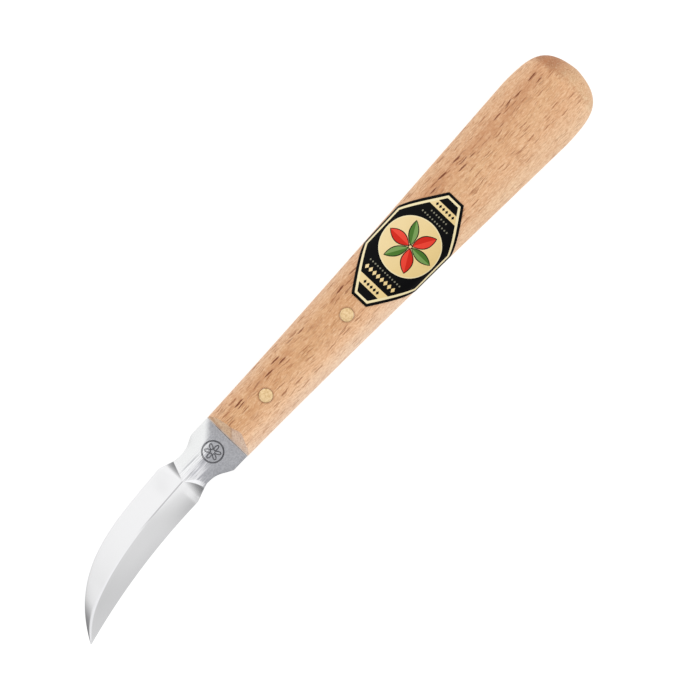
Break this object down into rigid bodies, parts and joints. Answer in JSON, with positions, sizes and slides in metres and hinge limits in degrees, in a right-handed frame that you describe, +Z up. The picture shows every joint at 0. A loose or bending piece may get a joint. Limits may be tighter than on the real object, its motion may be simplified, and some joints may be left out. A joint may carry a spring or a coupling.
{
  "type": "chip carving knife",
  "caption": "Chip carving knife with a short curved blade, a full-width tang and a tapered flat-oval beech handle held by brass pins.",
  "frame": {"origin": "middle of the knife's length and width, on the flat underside of the handle", "axes": "+X from the butt of the handle towards the blade tip, +Y towards the side that the tip bends to, +Z up out of the labelled side"},
  "size_m": [0.165, 0.0195, 0.0112],
  "materials": {
    "blade_steel": "flat ground and polished blade, dull grey shoulder and tang",
    "beech": "sanded bare beech with short dark flecks along the grain",
    "brass": "sanded flush with the wood",
    "label_print": null
  },
  "bodies": {
    "root": {"blade": "blade_steel", "handle": "beech", "pin_front": "brass", "pin_rear": "brass", "label": "label_print"}
  },
  "joints": []
}
